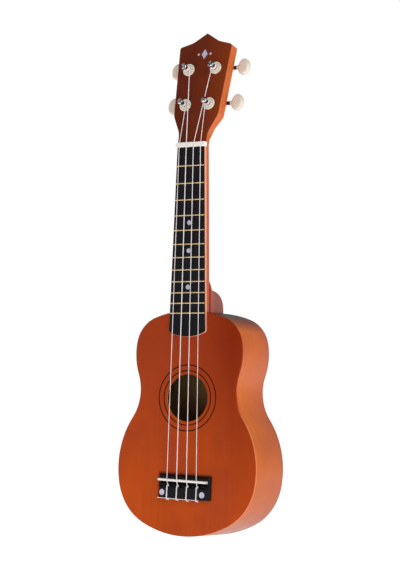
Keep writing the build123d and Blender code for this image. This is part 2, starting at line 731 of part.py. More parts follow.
with BuildPart() as back_plate:
    with BuildSketch(front_plane(BACK_Y)):
        with BuildLine():
            body_outline()
        make_face()
    extrude(amount=PLATE)
    rim = faces().sort_by(Axis.Y)[-1].outer_wire().edges()
    fillet(rim, PLATE_EDGE)
finish(back_plate, "back_plate")

SIDE_BAND = body_ring(0, SIDE, INNER_FRONT_Y, INNER_BACK_Y)
for side_name, kept_half in (("side_left", Keep.BOTTOM), ("side_right", Keep.TOP)):
    with BuildPart() as bent_side:
        add(SIDE_BAND)
        split(bisect_by=Plane.YZ, keep=kept_half)
        add(TENON, mode=Mode.SUBTRACT)
    finish(bent_side, side_name)

with BuildPart() as neck_block:
    add(NECK_BLOCK)
    add(TENON, mode=Mode.SUBTRACT)
finish(neck_block, "neck_block")

with BuildPart() as tail_block:
    add(TAIL_BLOCK)
finish(tail_block, "tail_block")

with BuildPart() as linings:
    add(body_ring(SIDE, SIDE + LINING_WIDE, INNER_FRONT_Y, INNER_FRONT_Y + LINING_DEEP))
    add(body_ring(SIDE, SIDE + LINING_WIDE, INNER_BACK_Y - LINING_DEEP, INNER_BACK_Y))
    add(NECK_BLOCK, mode=Mode.SUBTRACT)
    add(TAIL_BLOCK, mode=Mode.SUBTRACT)
finish(linings, "linings")

with BuildPart() as soundboard_braces:
    for brace_z in SOUNDBOARD_BRACE_Z:
        with Locations((0, INNER_FRONT_Y + BRACE_DEEP / 2, brace_z)):
            Box(BODY_WIDTH, BRACE_DEEP, BRACE_WIDE)
    add(INNER_ROOM, mode=Mode.INTERSECT)
finish(soundboard_braces, "soundboard_braces")

with BuildPart() as back_braces:
    for brace_z in BACK_BRACE_Z:
        with Locations((0, INNER_BACK_Y - BRACE_DEEP / 2, brace_z)):
            Box(BODY_WIDTH, BRACE_DEEP, BRACE_WIDE)
    add(INNER_ROOM, mode=Mode.INTERSECT)
finish(back_braces, "back_braces")

with BuildPart() as bridge_plate:
    with BuildSketch(bridge_plane(INNER_FRONT_Y)):
        with Locations((0, (BRIDGE_FRONT_Z + BRIDGE_BACK_Z) / 2)):
            RectangleRounded(*BRIDGE_PLATE_SIZE, BRIDGE_PLATE_CORNER)
        bolt_sketch(BOLT_HOLE_RADIUS, mode=Mode.SUBTRACT)
    extrude(amount=-BRIDGE_PLATE_THICK)
finish(bridge_plate, "bridge_plate")

# ---------------------------------------------------------------- bridge
with BuildPart() as bridge:
    with BuildSketch(bridge_side(BRIDGE_HALF)):
        with BuildLine():
            Polyline(BRIDGE_PROFILE, close=True)
        make_face()
    extrude(amount=2 * BRIDGE_HALF)
    for end in (-1, 1):
        with BuildSketch(bridge_foot()):
            with BuildLine():
                outer = (end * BRIDGE_HALF, SOUNDBOARD_Y - BRIDGE_END_HIGH)
                top = (end * (BRIDGE_HALF - BRIDGE_END_SLOPE), SOUNDBOARD_Y - TIE_BLOCK_HIGH)
                Polyline(outer, top, (end * BRIDGE_HALF, SOUNDBOARD_Y - TIE_BLOCK_HIGH), close=True)
            make_face()
        extrude(amount=BRIDGE_FRONT_Z - BRIDGE_BACK_Z, mode=Mode.SUBTRACT)
    with BuildSketch(bridge_plane(SOUNDBOARD_Y - SADDLE_SEAT_HIGH)):
        with Locations((0, -SCALE)):
            Rectangle(2 * SADDLE_HALF, SADDLE_THICK)
    extrude(amount=SADDLE_BLOCK_HIGH, mode=Mode.SUBTRACT)
    with BuildSketch(bridge_foot()):
        for index in range(len(STRING_NAMES)):
            with Locations((string_x_saddle(index), TIE_HOLE_Y)):
                Circle(TIE_HOLE_RADIUS)
    extrude(amount=TIE_FRONT_Z - BRIDGE_BACK_Z + 1, mode=Mode.SUBTRACT)
    with BuildSketch(bridge_plane(SOUNDBOARD_Y)):
        bolt_sketch(BOLT_HOLE_RADIUS)
    extrude(amount=TIE_BLOCK_HIGH, mode=Mode.SUBTRACT)
    with BuildSketch(bridge_plane(SOUNDBOARD_Y - BOLT_HEAD_SEAT)):
        bolt_sketch(BOLT_POCKET_RADIUS)
    extrude(amount=TIE_BLOCK_HIGH, mode=Mode.SUBTRACT)
finish(bridge, "bridge")

with BuildPart() as saddle:
    with BuildSketch(bridge_side(SADDLE_HALF)):
        with BuildLine():
            crown = SADDLE_THICK / 2
            seat, shoulder = SOUNDBOARD_Y - SADDLE_SEAT_HIGH, SADDLE_TOP_Y + crown
            Polyline((shoulder, -SCALE - crown), (seat, -SCALE - crown), (seat, -SCALE + crown),
                     (shoulder, -SCALE + crown))
            ThreePointArc((shoulder, -SCALE + crown), (SADDLE_TOP_Y, -SCALE), (shoulder, -SCALE - crown))
        make_face()
    extrude(amount=2 * SADDLE_HALF)
    cut_string_grooves()
finish(saddle, "saddle")

with BuildPart() as bridge_screws:
    with BuildSketch(bridge_plane(SOUNDBOARD_Y - BOLT_HEAD_SEAT)):
        bolt_sketch(BOLT_HEAD_RADIUS)
    extrude(amount=BOLT_HEAD_HIGH)
    with BuildSketch(bridge_plane(SOUNDBOARD_Y - BOLT_HEAD_SEAT)):
        bolt_sketch(BOLT_RADIUS)
    extrude(amount=-BOLT_LONG)
    with BuildSketch(bridge_plane(SOUNDBOARD_Y - BOLT_HEAD_SEAT - BOLT_HEAD_HIGH)):
        for bolt_x in (-BRIDGE_BOLT_X, BRIDGE_BOLT_X):
            with Locations((bolt_x, BRIDGE_BOLT_Z)):
                Rectangle(BOLT_SLOT_LONG, SLOT_WIDE)
                Rectangle(SLOT_WIDE, BOLT_SLOT_LONG)
    extrude(amount=-SLOT_DEEP, mode=Mode.SUBTRACT)
finish(bridge_screws, "bridge_screws")

with BuildPart() as bridge_nuts:
    with BuildSketch(bridge_plane(INNER_FRONT_Y + BRIDGE_PLATE_THICK)):
        bolt_sketch(BOLT_WASHER_RADIUS)
        bolt_sketch(BOLT_RADIUS, mode=Mode.SUBTRACT)
    extrude(amount=-BOLT_WASHER_THICK)
    with BuildSketch(bridge_plane(INNER_FRONT_Y + BRIDGE_PLATE_THICK + BOLT_WASHER_THICK)):
        for bolt_x in (-BRIDGE_BOLT_X, BRIDGE_BOLT_X):
            with Locations((bolt_x, BRIDGE_BOLT_Z)):
                RegularPolygon(BOLT_NUT_HALF, 6, major_radius=False)
        bolt_sketch(BOLT_RADIUS, mode=Mode.SUBTRACT)
    extrude(amount=-BOLT_NUT_HIGH)
finish(bridge_nuts, "bridge_nuts")

with BuildPart() as bridge_dots:
    with BuildSketch(bridge_plane(SOUNDBOARD_Y - TIE_BLOCK_HIGH + BRIDGE_DOT_THICK)):
        bolt_sketch(BOLT_POCKET_RADIUS)
    extrude(amount=BRIDGE_DOT_THICK)
finish(bridge_dots, "bridge_dots")

# ---------------------------------------------------------------- neck and headstock
with BuildPart() as head_relief:
    for height, half, corner, behind in HEAD_RELIEF:
        with BuildSketch(Plane.XY.offset(height)):
            back = head_back_y(height) + behind
            with Locations((0, (back + HEAD_RELIEF_FRONT) / 2)):
                RectangleRounded(2 * half, back - HEAD_RELIEF_FRONT, corner)
    loft(ruled=True)

with BuildPart() as head_blank:
    with BuildSketch(head_plane(-FACING)):
        with BuildLine():
            head_outline()
        make_face()
    extrude(amount=FACING - HEAD_THICK)
    add(head_relief.part, mode=Mode.INTERSECT)

with BuildPart() as neck:
    for run in NECK_RUNS:
        for section in run:
            with BuildSketch(Plane.XY.offset(section[0])):
                with BuildLine():
                    neck_section(*section[1:])
                make_face()
        loft()
    for section in HEEL_SECTIONS:
        with BuildSketch(front_plane(section[0])):
            with BuildLine():
                heel_section(*section[1:])
            make_face()
    loft()
    add(head_blank.part)
    add(HEAD_TRIM, mode=Mode.SUBTRACT)
    with BuildSketch(head_plane()):
        with Locations(*TUNER_PLACES):
            Circle(BUSHING_SLEEVE_RADIUS)
    extrude(amount=-HEAD_THICK, mode=Mode.SUBTRACT)
    with BuildSketch(head_plane(-HEAD_THICK)):
        with Locations(*tuner_screw_places()):
            Circle(TUNER_SCREW_RADIUS)
    extrude(amount=TUNER_SCREW_LONG, mode=Mode.SUBTRACT)
    add(BODY, mode=Mode.SUBTRACT)
    add(TENON)
finish(neck, "neck")

with BuildPart() as headstock_facing:
    with BuildSketch(head_plane(-FACING)):
        with BuildLine():
            head_outline()
        make_face()
        with Locations(*TUNER_PLACES):
            Circle(BUSHING_SLEEVE_RADIUS, mode=Mode.SUBTRACT)
    extrude(amount=FACING)
    split(bisect_by=Plane.XY.offset(NUT_LONG), keep=Keep.TOP)
    with BuildSketch(head_plane()):
        inlay_sketch()
    extrude(amount=-INLAY_DEEP, mode=Mode.SUBTRACT)
finish(headstock_facing, "headstock_facing")

with BuildPart() as headstock_inlay:
    with BuildSketch(head_plane()):
        inlay_sketch()
    extrude(amount=-INLAY_DEEP)
finish(headstock_inlay, "headstock_inlay")

with BuildPart() as fingerboard:
    with BuildSketch(front_plane(FINGERBOARD_THICK)):
        with BuildLine():
            end_z = JOINT_Z - FINGERBOARD_TONGUE
            half_end = fingerboard_half(end_z)
            corner_z = end_z + TONGUE_RADIUS - (TONGUE_RADIUS ** 2 - half_end ** 2) ** 0.5
            Polyline((-half_end, corner_z), (-FINGERBOARD_HALF_NUT, 0), (FINGERBOARD_HALF_NUT, 0),
                     (half_end, corner_z))
            ThreePointArc((half_end, corner_z), (0, end_z), (-half_end, corner_z))
        make_face()
        fillet(vertices().group_by(Axis.Y)[0], TONGUE_CORNER)
    extrude(amount=FINGERBOARD_THICK)
    top_edges = faces().sort_by(Axis.Y)[0].outer_wire().edges()
    chamfer(top_edges.filter_by(lambda edge: edge.center().Z < -1), FINGERBOARD_BEVEL)
    for number in range(1, FRETS + 1):
        with Locations((0, FRET_TANG_DEEP / 2, fret_z(number))):
            Box(60, FRET_TANG_DEEP, FRET_TANG_THICK, mode=Mode.SUBTRACT)
    with BuildSketch(front_plane(0)):
        dot_sketch()
    extrude(amount=-DOT_DEEP, mode=Mode.SUBTRACT)
finish(fingerboard, "fingerboard")

with BuildPart() as frets:
    for number in range(1, FRETS + 1):
        half = fingerboard_half(fret_z(number)) - FINGERBOARD_BEVEL
        with BuildSketch(Plane.YZ.offset(-half)):
            with BuildLine():
                fret_section(fret_z(number))
            make_face()
        extrude(amount=2 * half)
finish(frets, "frets")

with BuildPart() as position_dots:
    with BuildSketch(front_plane(0)):
        dot_sketch()
    extrude(amount=-DOT_DEEP)
finish(position_dots, "position_dots")

with BuildPart() as nut:
    with BuildSketch(Plane.YZ.offset(-NUT_HALF)):
        with BuildLine():
            Polyline((FINGERBOARD_THICK, 0), (-NUT_HIGH, 0), (-NUT_HIGH + NUT_FALL, NUT_LONG),
                     (FINGERBOARD_THICK, NUT_LONG), close=True)
        make_face()
        fillet(vertices().group_by(Axis.X)[0], NUT_ROUND)
        fillet(vertices().sort_by(Axis.X)[2:4], NUT_ROUND)
    extrude(amount=2 * NUT_HALF)
    cut_string_grooves()
finish(nut, "nut")

# ---------------------------------------------------------------- strings
for index, string_name in enumerate(STRING_NAMES):
    with BuildPart() as string:
        with BuildLine() as run:
            string_path(index)
        with BuildSketch(Plane(origin=run.line @ 0, z_dir=run.line % 0)):
            Circle(STRING_DIAMETERS[index] / 2)
        sweep(path=run.line)
    finish(string, f"string_{string_name}")

# ---------------------------------------------------------------- tuners
for tuner_name, side, across, along, index in TUNERS:
    make_tuner(tuner_name, side, side * across, along, index)

with BuildPart() as tuner_screws:
    with BuildSketch(head_plane(-HEAD_THICK)):
        with Locations(*tuner_screw_places()):
            Circle(TUNER_SCREW_RADIUS)
    extrude(amount=TUNER_SCREW_LONG)
    with BuildSketch(head_plane(-HEAD_THICK)):
        with Locations(*tuner_screw_places()):
            Circle(TUNER_SCREW_RADIUS)
    extrude(amount=-TUNER_PLATE)
    for x, along in tuner_screw_places():
        with BuildSketch(head_plane(-HEAD_THICK - TUNER_PLATE, x, along)):
            Circle(TUNER_SCREW_HEAD)
        extrude(amount=-TUNER_SCREW_HEAD_HIGH, taper=TUNER_SCREW_HEAD_TAPER)
    with BuildSketch(head_plane(-HEAD_THICK - TUNER_PLATE - TUNER_SCREW_HEAD_HIGH)):
        with Locations(*tuner_screw_places()):
            Rectangle(TUNER_SCREW_HEAD, SMALL_SLOT_WIDE)
            Rectangle(SMALL_SLOT_WIDE, TUNER_SCREW_HEAD)
    extrude(amount=SMALL_SLOT_DEEP, mode=Mode.SUBTRACT)
finish(tuner_screws, "tuner_screws")
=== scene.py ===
"""Looks for the soprano ukulele: camera, studio, materials, strings with their knots, shaft sleeves."""

import json
import math

import bpy
from mathutils import Matrix, Vector


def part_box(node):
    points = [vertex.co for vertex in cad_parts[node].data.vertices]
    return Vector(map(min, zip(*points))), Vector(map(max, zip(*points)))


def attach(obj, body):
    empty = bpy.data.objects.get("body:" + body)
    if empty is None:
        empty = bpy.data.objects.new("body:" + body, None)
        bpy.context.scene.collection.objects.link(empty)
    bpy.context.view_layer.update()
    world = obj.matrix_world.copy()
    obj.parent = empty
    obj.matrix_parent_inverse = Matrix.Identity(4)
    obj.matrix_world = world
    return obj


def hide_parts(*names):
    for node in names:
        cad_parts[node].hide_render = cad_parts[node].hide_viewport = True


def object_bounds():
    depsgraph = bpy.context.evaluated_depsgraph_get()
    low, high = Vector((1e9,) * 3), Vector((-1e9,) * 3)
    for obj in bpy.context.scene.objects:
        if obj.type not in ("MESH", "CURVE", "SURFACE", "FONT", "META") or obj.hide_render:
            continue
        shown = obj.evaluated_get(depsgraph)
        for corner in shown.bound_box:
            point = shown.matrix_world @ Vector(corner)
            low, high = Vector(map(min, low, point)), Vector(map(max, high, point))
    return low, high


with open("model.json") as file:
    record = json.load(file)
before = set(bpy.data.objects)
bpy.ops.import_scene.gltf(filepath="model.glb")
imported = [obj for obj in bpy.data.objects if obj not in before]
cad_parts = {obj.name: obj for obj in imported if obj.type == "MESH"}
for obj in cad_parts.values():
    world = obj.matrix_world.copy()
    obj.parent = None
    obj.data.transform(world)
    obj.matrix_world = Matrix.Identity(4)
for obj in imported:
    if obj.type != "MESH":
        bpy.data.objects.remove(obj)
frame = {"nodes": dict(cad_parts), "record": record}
CAD_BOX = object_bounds()
NODES = frame["nodes"]
RECORD = frame["record"]
JOINTS = {joint["child"]: joint for joint in RECORD["behaviour"]["joints"]}
ROOT = "body_and_neck"
SCENE = bpy.context.scene

# ------------------------------------------------------------------ sizes in metres
MM = 0.001
SCALE = 345 * MM                       # nut to saddle
BOARD_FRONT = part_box("soundboard")[0].y
HOLE_Z = sum(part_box("rosette_rings"), Vector()).z / 2
HOLE_RADIUS = 24.5 * MM
ACROSS = Vector((1, 0, 0))
HEAD_OUT = Vector(JOINTS["post_lower_left"]["axis"]).normalized()   # out of the headstock's face
HEAD_UP = HEAD_OUT.cross(ACROSS)
BRIDGE_SLANT = math.radians(2)
BRIDGE_FRONT = -339.0 * MM
BRIDGE_BACK = -363.4 * MM
BRIDGE_HALF = 31.2 * MM
TIE_FRONT = -352.0 * MM
TIE_TOP = BOARD_FRONT - 6.2 * MM
TIE_HOLE = BOARD_FRONT - 2.9 * MM
STRINGS = (                            # name, post, radius, from left to right at the bridge
    ("g", "lower_left", 0.375 * MM),
    ("c", "upper_left", 0.5 * MM),
    ("e", "upper_right", 0.425 * MM),
    ("a", "lower_right", 0.35 * MM),
)
NUT_SPACING = 8.6 * MM
NUT_TOP = (-2.2 * MM, 2.5 * MM)        # where the strings cross the nut, back and up
SADDLE_SPACING = 11.76 * MM
SADDLE_TOP = -4.3 * MM
WINDING_H = 3.3 * MM                   # heights on a post are from the headstock's face
WINDING_TURNS = 3
WINDING_GAP = 0.04 * MM
SPOOL_RADIUS = 2.2 * MM
POST_HOLE_H = 8.2 * MM
POST_TAIL = 4.4 * MM
SLEEVE_BORE = 1.52 * MM
SLEEVE_RADIUS = 2.15 * MM
SLEEVE_SPAN = (9.6 * MM, 16.1 * MM)    # along the shaft, from the post's axis
GROOVES = 4
GROOVE_START = 10.5 * MM
GROOVE_PITCH = 1.35 * MM
GROOVE_RADIUS = 1.85 * MM
GROOVE_SIDE = 0.15 * MM
GROOVE_FLOOR = 0.35 * MM
HITCH_LIFT = 0.7 * MM                  # twisted strands' centre line above the tie block
HITCH_OFFSET = 0.42 * MM
HITCH_PITCH = 3.4 * MM
HITCH_RADIUS = 0.36 * MM
TAIL_RADIUS = 0.42 * MM

# ------------------------------------------------------------------ camera and studio
CAMERA_PLACE = Vector((1.0689, -1.7477, -0.2829))
CAMERA_YAW = math.radians(31.10)
CAMERA_PITCH = math.radians(-3.90)
CAMERA_ROLL = math.radians(1.22)
CAMERA_LENS = 125.6
FLOOR_DROP = 0.16            # the instrument hangs this far above the floor
SURROUND_LIGHT = 0.36        # how bright the white surround is as a light
FLOOR_GLOW = 0.75
FLOOR_SIZE = 30.0            # half its width
LIGHTS = (                   # name, place from the instrument's middle, size, watts
    ("key_light", (1.9, -1.5, 1.1), 1.4, 22),
    ("side_light", (2.2, 0.9, 0.3), 1.2, 13),
    ("low_light", (-0.3, -2.2, -0.2), 1.0, 5),
)


def make_camera():
    """Camera at the photograph's angle, right of the instrument's front and looking slightly up."""
    sin_yaw, cos_yaw = math.sin(CAMERA_YAW), math.cos(CAMERA_YAW)
    sin_pitch, cos_pitch = math.sin(CAMERA_PITCH), math.cos(CAMERA_PITCH)
    ahead = Vector((-sin_yaw * cos_pitch, cos_yaw * cos_pitch, -sin_pitch))
    right = Vector((cos_yaw, sin_yaw, 0))
    up = right.cross(ahead)
    sin_roll, cos_roll = math.sin(CAMERA_ROLL), math.cos(CAMERA_ROLL)
    rolled_right = cos_roll * right + sin_roll * up
    rolled_up = cos_roll * up - sin_roll * right
    data = bpy.data.cameras.new("camera")
    data.lens = CAMERA_LENS
    data.sensor_width = 36
    data.clip_start, data.clip_end = 0.01, 100
    camera = bpy.data.objects.new("camera", data)
    SCENE.collection.objects.link(camera)
    turn = Matrix((rolled_right, rolled_up, -ahead)).transposed().to_4x4()
    camera.matrix_world = Matrix.Translation(CAMERA_PLACE) @ turn
    SCENE.camera = camera


def make_area(name, place, target, size, power):
    """Soft square light at a place, facing a target."""
    data = bpy.data.lights.new(name, "AREA")
    data.size = size
    data.energy = power
    light = bpy.data.objects.new(name, data)
    SCENE.collection.objects.link(light)
    light.location = place
    light.rotation_mode = "QUATERNION"
    light.rotation_quaternion = (target - place).to_track_quat("-Z", "Y")


def make_studio():
    """White surround seen by the camera, dimmer as a light, with a pale floor and soft lights."""
    world = bpy.data.worlds.new("studio")
    world.use_nodes = True
    nodes, links = world.node_tree.nodes, world.node_tree.links
    background = nodes["Background"]
    background.inputs["Color"].default_value = (1, 1, 1, 1)
    path = nodes.new("ShaderNodeLightPath")
    strength = nodes.new("ShaderNodeMapRange")
    strength.inputs["To Min"].default_value = SURROUND_LIGHT
    strength.inputs["To Max"].default_value = 1.0
    links.new(path.outputs["Is Camera Ray"], strength.inputs["Value"])
    links.new(strength.outputs["Result"], background.inputs["Strength"])
    SCENE.world = world
    middle = (CAD_BOX[0] + CAD_BOX[1]) / 2
    for name, offset, size, power in LIGHTS:
        make_area(name, middle + Vector(offset), middle, size, power)

    mesh = bpy.data.meshes.new("floor")
    corners = [(FLOOR_SIZE * x, FLOOR_SIZE * y, 0) for x, y in ((-1, -1), (1, -1), (1, 1), (-1, 1))]
    mesh.from_pydata(corners, [], [(0, 1, 2, 3)])
    floor = bpy.data.objects.new("floor", mesh)
    floor.location = (0, 0, CAD_BOX[0].z - FLOOR_DROP)
    SCENE.collection.objects.link(floor)
    floor.data.materials.append(floor_material())
    SCENE.view_settings.view_transform = "Standard"
    SCENE.view_settings.look = "None"


def post_foot(post):
    """Where a tuner post's axis meets the headstock's face."""
    return Vector(JOINTS[f"post_{post}"]["pos_m"])


# ------------------------------------------------------------------ materials
class Shader:
    """A material's node tree, with short calls for the nodes that the finishes share."""

    def __init__(self, name):
        self.material = bpy.data.materials.new(name)
        self.material.use_nodes = True
        self.nodes = self.material.node_tree.nodes
        self.links = self.material.node_tree.links
        self.nodes.clear()
        self.output = self.nodes.new("ShaderNodeOutputMaterial")
        self.surface = self.nodes.new("ShaderNodeBsdfPrincipled")
        self.links.new(self.surface.outputs[0], self.output.inputs[0])
        self.coordinates = self.nodes.new("ShaderNodeTexCoord").outputs["Object"]

    def set(self, **values):
        """Set constant sockets of the surface shader, underscores standing for spaces."""
        for key, value in values.items():
            self.surface.inputs[key.replace("_", " ")].default_value = value

    def mapped(self, scale):
        """Object coordinates in metres, scaled along each axis."""
        node = self.nodes.new("ShaderNodeMapping")
        node.inputs["Scale"].default_value = scale
        self.links.new(self.coordinates, node.inputs["Vector"])
        return node.outputs[0]

    def noise(self, scale, detail=3.0, rough=0.55, distortion=0.0):
        """Noise value from 0 to 1, stretched by a three-axis scale."""
        node = self.nodes.new("ShaderNodeTexNoise")
        node.inputs["Scale"].default_value = 1.0
        node.inputs["Detail"].default_value = detail
        node.inputs["Roughness"].default_value = rough
        node.inputs["Distortion"].default_value = distortion
        self.links.new(self.mapped(scale), node.inputs["Vector"])
        return node.outputs["Fac"]

    def ramp(self, value, stops):
        """Colour from a value by (position, colour) stops."""
        node = self.nodes.new("ShaderNodeValToRGB")
        elements = node.color_ramp.elements
        while len(elements) < len(stops):
            elements.new(0.5)
        for element, (position, colour) in zip(elements, stops):
            element.position = position
            element.color = (*colour, 1)
        self.links.new(value, node.inputs["Fac"])
        return node.outputs["Color"]

    def range(self, value, low, high, out_low, out_high):
        """Value mapped from one range to another, clamped."""
        node = self.nodes.new("ShaderNodeMapRange")
        limits = {"From Min": low, "From Max": high, "To Min": out_low, "To Max": out_high}
        for key, number in limits.items():
            node.inputs[key].default_value = number
        self.links.new(value, node.inputs["Value"])
        return node.outputs["Result"]

    def math(self, operation, first, second):
        """Two values combined, either of them a number or a socket."""
        node = self.nodes.new("ShaderNodeMath")
        node.operation = operation
        for socket, value in zip(node.inputs, (first, second)):
            if isinstance(value, (int, float)):
                socket.default_value = value
            else:
                self.links.new(value, socket)
        return node.outputs[0]

    def mix(self, factor, first, second):
        """Two colours mixed by a factor."""
        node = self.nodes.new("ShaderNodeMix")
        node.data_type = "RGBA"
        sockets = [node.inputs[0], node.inputs[6], node.inputs[7]]
        for socket, value in zip(sockets, (factor, first, second)):
            if isinstance(value, (int, float)):
                socket.default_value = value
            elif isinstance(value, tuple):
                socket.default_value = (*value, 1)
            else:
                self.links.new(value, socket)
        return node.outputs[2]

    def axis(self, name):
        """One object coordinate, in metres."""
        node = self.nodes.new("ShaderNodeSeparateXYZ")
        self.links.new(self.coordinates, node.inputs[0])
        return node.outputs[name]

    def facing(self, name):
        """One part of the surface's own direction, in object space."""
        node = self.nodes.new("ShaderNodeSeparateXYZ")
        self.links.new(self.coordinates.node.outputs["Normal"], node.inputs[0])
        return node.outputs[name]

    def from_hole(self):
        """Distance from the soundhole's axis, in metres."""
        across = self.math("POWER", self.axis("X"), 2.0)
        along = self.math("POWER", self.math("SUBTRACT", self.axis("Z"), HOLE_Z), 2.0)
        return self.math("SQRT", self.math("ADD", across, along), 0.0)

    def from_posts(self):
        """Distance from the nearest tuner post's axis, measured along the headstock's face, in metres."""
        across = self.math("ABSOLUTE", self.axis("X"), 0.0)
        rise = self.math("MULTIPLY", self.axis("Y"), HEAD_UP.y)
        run = self.math("MULTIPLY", self.axis("Z"), HEAD_UP.z)
        along = self.math("ADD", rise, run)
        found = []
        for post in ("lower_right", "upper_right"):
            foot = post_foot(post)
            first = self.math("POWER", self.math("SUBTRACT", across, foot.x), 2.0)
            second = self.math("POWER", self.math("SUBTRACT", along, foot.dot(HEAD_UP)), 2.0)
            found.append(self.math("SQRT", self.math("ADD", first, second), 0.0))
        return self.math("MINIMUM", *found)

    def colour(self, socket):
        """Drive the surface's colour."""
        self.links.new(socket, self.surface.inputs["Base Color"])

    def roughness(self, socket):
        """Drive the surface's roughness."""
        self.links.new(socket, self.surface.inputs["Roughness"])

    def bump(self, height, strength, distance):
        """Raise the surface by a height, over a distance in metres."""
        node = self.nodes.new("ShaderNodeBump")
        node.inputs["Strength"].default_value = strength
        node.inputs["Distance"].default_value = distance
        self.links.new(height, node.inputs["Height"])
        self.links.new(node.outputs[0], self.surface.inputs["Normal"])


def srgb(red, green, blue):
    """Linear colour from 0-255 display values."""
    def linear(value):
        value /= 255
        return value / 12.92 if value <= 0.04045 else ((value + 0.055) / 1.055) ** 2.4
    return (linear(red), linear(green), linear(blue))


def tones(colour, *factors):
    """The same colour at several strengths."""
    return [tuple(channel * factor for channel in colour) for factor in factors]


def floor_material():
    """White paper, lit from behind so that it stays as pale as the surround."""
    shader = Shader("floor_paper")
    tone = shader.noise((3, 3, 3), 2)
    shader.colour(shader.ramp(tone, ((0.3, (0.93, 0.93, 0.93)), (0.7, (0.96, 0.96, 0.96)))))
    shader.roughness(shader.range(tone, 0.3, 0.7, 0.85, 0.95))
    shader.set(Emission_Color=(1, 1, 1, 1), Emission_Strength=FLOOR_GLOW)
    return shader.material


def stained_wood(shader, shade, figure, gloss, grain=240, coat=0.03, sheen=0.12):
    """Lacquered, stained wood with its grain up the instrument. Returns its colour, for extra tones."""
    streak = shader.noise((grain, grain, 6), 5, 0.55, distortion=0.25)
    mottle = shader.noise((22, 22, 16), 3, 0.5)
    pore = shader.noise((5 * grain, 5 * grain, 80), 2, 0.7)
    value = shader.math("ADD", shader.math("MULTIPLY", streak, 0.45), shader.math("MULTIPLY", mottle, 0.55))
    dark, plain, light = tones(shade, 1 - 1.5 * figure, 1, 1 + 1.3 * figure)
    colour = shader.ramp(value, ((0.34, dark), (0.5, plain), (0.66, light)))
    pores = shader.range(pore, 0.62, 0.74, 0.0, 1.4 * figure)
    colour = shader.mix(pores, colour, tones(shade, 0.45)[0])
    wear = shader.noise((75, 75, 75), 4, 0.65)
    shader.roughness(shader.range(wear, 0.3, 0.7, gloss - 0.05, gloss + 0.08))
    height = shader.math("ADD", shader.math("MULTIPLY", streak, 0.6), shader.math("MULTIPLY", pore, 0.4))
    shader.bump(height, 0.06, 0.0003)
    shader.set(Coat_Weight=coat, Coat_Roughness=0.2, Specular_IOR_Level=sheen)
    return colour


def board_stain_and_shade(shader):
    """Orange-brown stain with soft blotches, plus painted shade: redder and darker towards the upper bout
    and the right rim.
    """
    colour = stained_wood(shader, srgb(179, 71, 20), 0.09, 0.42, coat=0.0, sheen=0.05)
    blotch = shader.range(shader.noise((16, 16, 13), 4, 0.6), 0.46, 0.66, 0, 0.45)
    colour = shader.mix(blotch, colour, srgb(148, 54, 34))
    # Painted shade: darker and redder towards the upper bout.
    height = shader.range(shader.axis("Z"), -0.36, -0.20, 0, 1)
    colour = shader.mix(shader.math("MULTIPLY", height, 0.9), colour, srgb(147, 53, 23))
    # Painted shade: darker still on the right of the upper bout.
    right = shader.range(shader.axis("X"), 0.005, 0.055, 0, 0.9)
    colour = shader.mix(shader.math("MULTIPLY", right, height), colour, srgb(119, 30, 0))
    # Painted shade: darker, deeper orange towards the right rim.
    rim = shader.range(shader.axis("X"), 0.045, 0.082, 0, 0.4)
    return shader.mix(rim, colour, srgb(156, 52, 4))


def bridge_painted_shadow(shader, colour):
    """Painted shadow: a dark band on the soundboard along the bridge's front edge, fading away from it."""
    slant = shader.math("MULTIPLY", shader.axis("X"), math.tan(BRIDGE_SLANT))
    level = shader.math("ADD", shader.axis("Z"), slant)
    above = shader.range(level, BRIDGE_FRONT + 0.3 * MM, BRIDGE_FRONT + 3 * MM, 0.7, 0)
    under = shader.range(level, BRIDGE_BACK, BRIDGE_BACK + 1 * MM, 0, 1)
    across = shader.math("ABSOLUTE", shader.axis("X"), 0.0)
    inward = shader.range(across, BRIDGE_HALF, BRIDGE_HALF + 2 * MM, 1, 0)
    line = shader.math("MULTIPLY", shader.math("MULTIPLY", above, under), inward)
    # Painted shadow of the bridge on the soundboard, darkest at the bridge's edge.
    return shader.mix(line, colour, srgb(96, 34, 14))


def board_edge_shade_and_highlight(shader, colour):
    """Rounded edge, with painted shade on the left and a painted pale highlight on the right of the lower
    bout.
    """
    rounded_edge = shader.range(shader.facing("Y"), -0.97, -0.75, 0, 0.75)
    left = shader.range(shader.facing("X"), 0.1, -0.3, 0, 1)
    # Painted shade along the rounded edge on the left.
    colour = shader.mix(shader.math("MULTIPLY", rounded_edge, left), colour, srgb(84, 34, 30))
    # Painted highlight along the rounded edge on the right of the lower bout.
    right = shader.range(shader.facing("X"), 0.0, 0.4, 0, 1)
    edge_highlight = shader.math("MULTIPLY", right, shader.range(shader.axis("Z"), -0.285, -0.262, 1, 0))
    return shader.mix(shader.math("MULTIPLY", rounded_edge, edge_highlight), colour, srgb(224, 134, 86))


def soundboard_wood():
    """Stained front of the body with painted shade, a painted shadow at the bridge and painted edge shade
    and highlight, with pale layers where the soundhole cuts it.
    """
    shader = Shader("soundboard_wood")
    colour = board_edge_shade_and_highlight(shader, bridge_painted_shadow(shader, board_stain_and_shade(shader)))
    wall = shader.range(shader.from_hole(), HOLE_RADIUS + 0.05 * MM, HOLE_RADIUS + 0.3 * MM, 1, 0)
    behind = shader.range(shader.axis("Y"), BOARD_FRONT + 0.1 * MM, BOARD_FRONT + 0.3 * MM, 0, 1)
    layer = shader.noise((30, 1500, 30), 2, 0.4)
    ply = shader.ramp(layer, ((0.42, srgb(226, 156, 84)), (0.6, srgb(186, 104, 46))))
    shader.colour(shader.mix(shader.math("MULTIPLY", wall, behind), colour, ply))
    return shader.material


